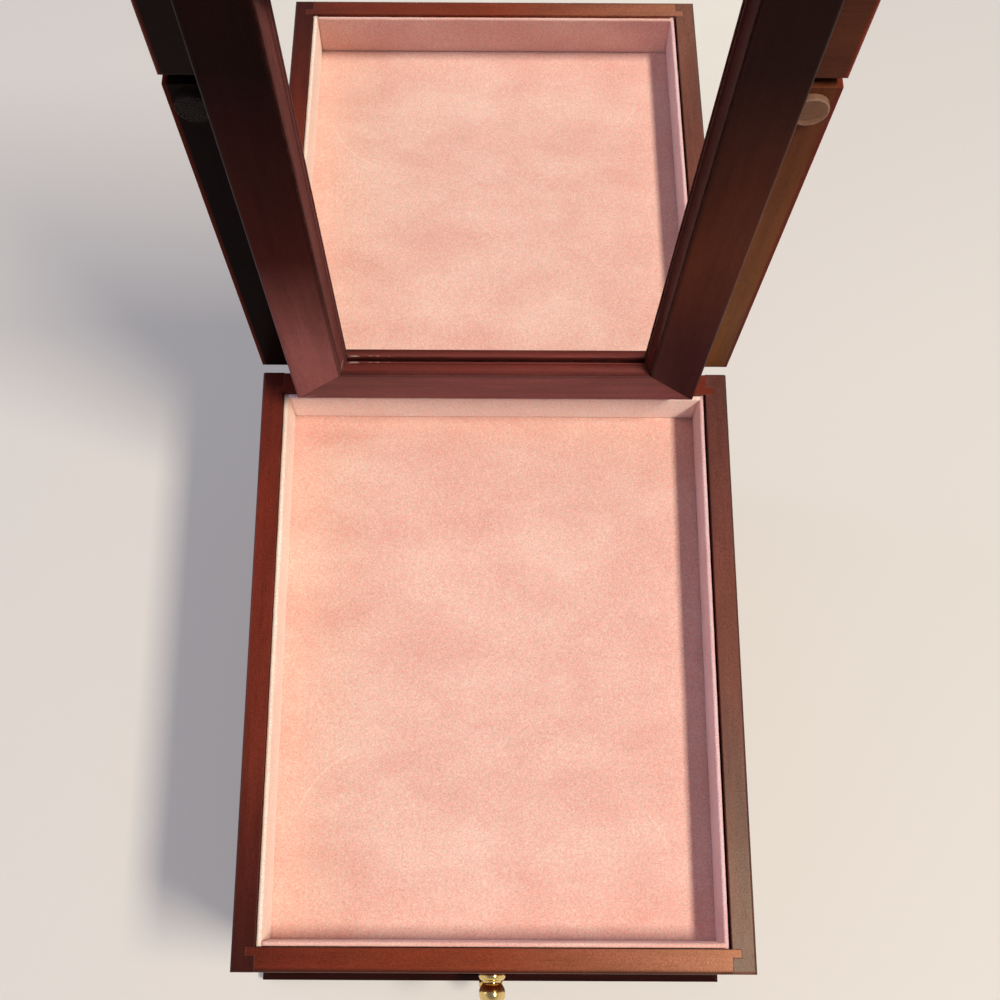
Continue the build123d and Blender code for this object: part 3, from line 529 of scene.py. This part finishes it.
BOARDS = {"side_left": "rim_left", "side_right": "rim_right", "front_rail": "rim_front",
          "back_board": "across", "shelf": "across", "base_board": "across",
          "drawer_front_upper": "drawer", "drawer_front_lower": "drawer",
          "plinth_front": "plinth_x", "plinth_back": "plinth_x", "plinth_left": "plinth_y",
          "plinth_right": "plinth_y", "lid_top": "lid_top", "lid_stile_left": "stile_left",
          "lid_stile_right": "stile_right", "lid_back_rail": "lid_rail",
          "lid_front_board": "lid_front", "frame_left": "frame_left",
          "frame_right": "frame_right", "frame_back": "frame_across",
          "frame_front": "frame_across"}
for name in NODES:
    if name in BOARDS:
        dress(name, MAHOGANY[BOARDS[name]])
    elif name in ("mirror_backing", "tray_panel") or name.startswith("drawer_bottom"):
        dress(name, PLY)
    elif name.startswith("drawer_side") or name == "mirror_retainers":
        dress(name, BEECH_Y)
    elif name.startswith("drawer_back"):
        dress(name, BEECH_X)
    elif name.startswith("knob_screw"):
        dress(name, STEEL)
    elif name.startswith(("knob", "hinge")):
        dress(name, BRASS)
    elif name == "bumpers":
        dress(name, RUBBER)


# ------------------------------------------------------------------ new pieces
def piece(name, verts, faces, material, body, replaced, smooth=True):
    """A mesh that stands for a CAD node and moves with that node's body."""
    mesh = bpy.data.meshes.new(name)
    mesh.from_pydata([tuple(v) for v in verts], [], faces)
    bm = bmesh.new()
    bm.from_mesh(mesh)
    bmesh.ops.recalc_face_normals(bm, faces=bm.faces)
    bm.to_mesh(mesh)
    bm.free()
    for polygon in mesh.polygons:
        polygon.use_smooth = smooth
    mesh.materials.append(material)
    made = bpy.data.objects.new(name, mesh)
    bpy.context.scene.collection.objects.link(made)
    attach(made, body)
    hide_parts(replaced)
    return made


def wave(x, y, z, size):
    """A fixed smooth unevenness; size is how many waves there are in a metre."""
    return noise.noise(Vector((x, y, z)) * size)


def tube_of(rings):
    """Faces between equal closed rings of points, with a fan at each end."""
    n = len(rings[0])
    verts = [p for r in rings for p in r]
    faces = [(i * n + j, i * n + (j + 1) % n, (i + 1) * n + (j + 1) % n, (i + 1) * n + j)
             for i in range(len(rings) - 1) for j in range(n)]
    faces += [tuple(range(n)), tuple(range(len(verts) - n, len(verts)))]
    return verts, faces


def lined_wall(node, face_to, material, lean, fill_gap=0.0):
    """Velvet folded over a card that stands against a wall of the tray.

    face_to is the direction that the lining faces; lean is how far its top stands off
    the wood, and fill_gap how much of the gap behind it the fold of velvet takes.
    """
    low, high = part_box(node)
    inward = Vector(face_to)
    along = Vector((abs(inward.y), abs(inward.x), 0))
    back = Vector((low.x if inward.x > 0 else high.x, low.y if inward.y > 0 else high.y, 0))
    back -= inward * fill_gap
    thick = abs((high - low).dot(inward)) + fill_gap - 0.0001
    tall = high.z - low.z
    start, stop = low.dot(along), high.dot(along)
    base = back - along * back.dot(along)
    r = thick / 2
    section = [(0.0, 0.0), (0.0, 0.25), (0.0, 0.5), (0.0, 0.75)]
    section += [(r - r * math.cos(a), (tall - r + r * math.sin(a)) / tall)
                for a in [math.pi * k / 12 for k in range(13)]]
    section += [(thick, h) for h in (0.85, 0.7, 0.5, 0.3, 0.12, 0.04)]
    section += [(thick - 0.0005, 0.0)]
    rings = []
    steps = 110
    for i in range(steps + 1):
        s = start + (stop - start) * i / steps
        ring_points = []
        for t, h in section:
            bulge = 0.00022 * math.sin(math.pi * min(1, h * 1.05)) if t > r else 0.0
            drift = 0.00010 * wave(s, t * 3, h * 0.02, 45) + 0.00006 * wave(s, t, h * 0.03, 160)
            depth = t + lean * h + bulge + (drift if t > 0 else max(0, drift))
            z = low.z + h * tall + (0.00012 * wave(s, 7, 0, 60) if h > 0.9 else 0)
            ring_points.append(base + along * s + inward * depth + Vector((0, 0, min(z, high.z))))
        rings.append(ring_points)
    verts, faces = tube_of(rings)
    made = piece("velvet_" + node, verts, faces, material, "case", node)
    return made


def laid_sheet(name, node, material, body, corner, lift):
    """A soft sheet with rolled edges, over the CAD solid that it stands for.

    corner is the radius of its corners in plan, and lift how uneven its top is.
    """
    low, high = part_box(node)
    thick = high.z - low.z
    middle = (low + high) / 2
    half = (high - low) / 2
    nx, ny = 56, 72
    # The rolled edge's lines: how far inside the edge, as a part of the thickness.
    roll = (0.0, 0.35, 0.75, 1.0)

    def spread(i, n, size):
        """Closer lines near the edge, so that the rolled edge is round."""
        edge = [thick * share for share in roll]
        if i < len(edge):
            return -size + edge[i]
        if i > n - len(edge):
            return size - edge[n - i]
        first, last = -size + edge[-1], size - edge[-1]
        return first + (last - first) * (i - len(edge) + 1) / (n - 2 * len(edge) + 2)

    def edge_drop(d):
        """How far the top falls d inside the edge."""
        return 0.0 if d >= thick else thick * 0.45 * (1 - math.sqrt(1 - (1 - d / thick) ** 2))

    verts, faces = [], []
    for is_top in (True, False):
        for j in range(ny + 1):
            for i in range(nx + 1):
                x, y = spread(i, nx, half.x), spread(j, ny, half.y)
                d = min(half.x - abs(x), half.y - abs(y))
                if is_top:
                    z = high.z - edge_drop(d) - lift * (0.5 + 0.5 * wave(x, y, 3, 28))
                else:
                    z = low.z + edge_drop(d) * 0.6
                cx, cy = max(0, abs(x) - (half.x - corner)), max(0, abs(y) - (half.y - corner))
                if corner and cx > 0 and cy > 0:
                    shrink = max(cx, cy) / math.hypot(cx, cy)
                    x = math.copysign(half.x - corner + cx * shrink, x)
                    y = math.copysign(half.y - corner + cy * shrink, y)
                verts.append((middle.x + x, middle.y + y, z))
    row = nx + 1
    count = row * (ny + 1)
    for j in range(ny):
        for i in range(nx):
            a = j * row + i
            faces.append((a, a + 1, a + row + 1, a + row))
            faces.append((count + a, count + a + row, count + a + row + 1, count + a + 1))
    rim = list(range(nx)) + [j * row + nx for j in range(ny)]
    rim += [ny * row + i for i in range(nx, 0, -1)] + [j * row for j in range(ny, 0, -1)]
    for a, b in zip(rim, rim[1:] + rim[:1]):
        faces.append((a, count + a, count + b, b))
    return piece(name, verts, faces, material, body, node)


lined_wall("lining_left", (1, 0, 0), VELVET_LIT, 0.0001, fill_gap=0.00027)
lined_wall("lining_right", (-1, 0, 0), VELVET_COOL_PAINTED_SHADE, 0.0010)
lined_wall("lining_front", (0, 1, 0), VELVET, 0.0002)
lined_wall("lining_back", (0, -1, 0), VELVET_BACK_PAINTED_LIGHT, 0.0001, fill_gap=0.00025)
tray_floor = laid_sheet("velvet_lining_floor", "lining_floor", VELVET_FLOOR, "case",
                        0.0, 0.00025)
for level in ("upper", "lower"):
    node = f"drawer_pad_{level}"
    pad = laid_sheet("velvet_" + node, node, VELVET, f"drawer_{level}", 0.0, 0.0002)
under = laid_sheet("felt_under_case", "base_felt", FELT, "case", 0.003, 0.0)


# How far the silvered face lies below the front of its glass.
SILVER_DEPTH = 0.0013


def mirror_plate():
    """Silvered face a little below the lip, as it is seen through its glass."""
    corners = NODES["mirror_glass"].data.vertices
    along = [(v.co - LID_START).dot(RUN) for v in corners]
    off = [(v.co - LID_START).dot(INWARD) for v in corners]
    half_x = max(v.co.x for v in corners)
    s0, s1 = min(along), max(along)
    bottom, face = min(off), max(off) - SILVER_DEPTH
    ease = 0.0003
    rings = []
    for inset, height in ((ease, bottom), (0, bottom + ease), (0, face - ease), (ease, face)):
        rings.append([on_lid(x, s, height) for x, s in (
            (-half_x + inset, s0 + inset), (half_x - inset, s0 + inset),
            (half_x - inset, s1 - inset), (-half_x + inset, s1 - inset))])
    verts, faces = tube_of(rings)
    return piece("mirror_silvered", verts, faces, SILVER, "lid", "mirror_glass", False)


mirror_plate()


# ------------------------------------------------------------------ camera, floor and light
def aim_camera():
    """The photograph's viewing angle and framing."""
    pitch, yaw, roll = (math.radians(a) for a in (75.436, 0.046, -0.326))
    forward = Vector((math.sin(yaw) * math.cos(pitch), math.cos(yaw) * math.cos(pitch),
                      -math.sin(pitch)))
    level = Vector((math.cos(yaw), -math.sin(yaw), 0))
    down = forward.cross(level)
    right = level * math.cos(roll) + down * math.sin(roll)
    below = down * math.cos(roll) - level * math.sin(roll)
    data = bpy.data.cameras.new("camera")
    data.sensor_width, data.lens = 36, 36 * 1.1498
    data.shift_x, data.shift_y = 0.0198, 0.0842
    data.clip_start, data.clip_end = 0.01, 50
    camera = bpy.data.objects.new("camera", data)
    bpy.context.scene.collection.objects.link(camera)
    turn = Matrix((right, -below, -forward)).transposed().to_4x4()
    camera.matrix_world = Matrix.Translation((-0.00766, -0.11676, 0.76960)) @ turn
    bpy.context.scene.camera = camera


aim_camera()


def seen_by_eye(t):
    """1 for what the camera sees, straight or in metal and glass, and 0 for lit surfaces."""
    rays = t.tree.nodes.new("ShaderNodeLightPath").outputs
    return t.higher(rays["Is Camera Ray"],
                    t.higher(rays["Is Glossy Ray"], rays["Is Transmission Ray"]))


FLOOR_Z, FLOOR_REACH = -0.0003, 40
floor_mesh = bpy.data.meshes.new("floor")
floor_mesh.from_pydata([(x * FLOOR_REACH, y * FLOOR_REACH, FLOOR_Z)
                        for x, y in ((-1, -1), (1, -1), (1, 1), (-1, 1))], [], [(0, 1, 2, 3)])
floor = bpy.data.objects.new("floor", floor_mesh)
bpy.context.scene.collection.objects.link(floor)
pale = Surface("floor_pale")
seen = seen_by_eye(pale)
apart = pale.tree.nodes.new("ShaderNodeVectorMath")
apart.operation = "LENGTH"
pale.give(apart.inputs[0], pale.coords)
far = pale.between(apart.outputs["Value"], 0.5, 3.0)
pale_near = pale.mix(far, (0.60, 0.59, 0.555), (0, 0, 0))
pale.set(Base_Color=pale.mix(seen, (0.34, 0.33, 0.31), pale_near), Roughness=0.8,
         Specular_IOR_Level=0.0, Emission_Color=(1.0, 0.986, 0.965),
         Emission_Strength=pale.times(seen, pale.between(far, 0, 1, 0.20, 0.72)))
floor_mesh.materials.append(pale.material)


def area_light(name, place, target, size, power, colour):
    """A rectangular lamp at a place, turned to a target."""
    data = bpy.data.lights.new(name, "AREA")
    data.shape, data.size, data.size_y = "RECTANGLE", *size
    data.energy, data.color = power, colour
    light = bpy.data.objects.new(name, data)
    bpy.context.scene.collection.objects.link(light)
    light.location = place
    light.rotation_euler = (Vector(target) - Vector(place)).to_track_quat("-Z", "Y").to_euler()
    return light


area_light("key", (0.92, -0.42, 2.10), (0, -0.42, 0.15), (0.70, 0.26), 47.5, (1.0, 0.88, 0.74))
area_light("fill", (-1.60, 0.30, 0.90), (0, 0, 0.15), (0.80, 0.80), 6.5, (0.70, 0.68, 0.96))

world = bpy.data.worlds.new("studio")
sky = Nodes(world)
height = sky.parts(sky.tree.nodes.new("ShaderNodeTexCoord").outputs["Generated"])[2]
light = sky.ramp(height, (0.0, (0.10, 0.095, 0.12)), (0.9, (0.19, 0.18, 0.22)))
backdrop = sky.ramp(height, (0.40, (0.72, 0.71, 0.695)), (0.80, (0.22, 0.22, 0.26)))
sky.give(sky.tree.nodes["Background"].inputs[0], sky.mix(seen_by_eye(sky), light, backdrop))
bpy.context.scene.world = world
bpy.context.scene.view_settings.view_transform = "Standard"
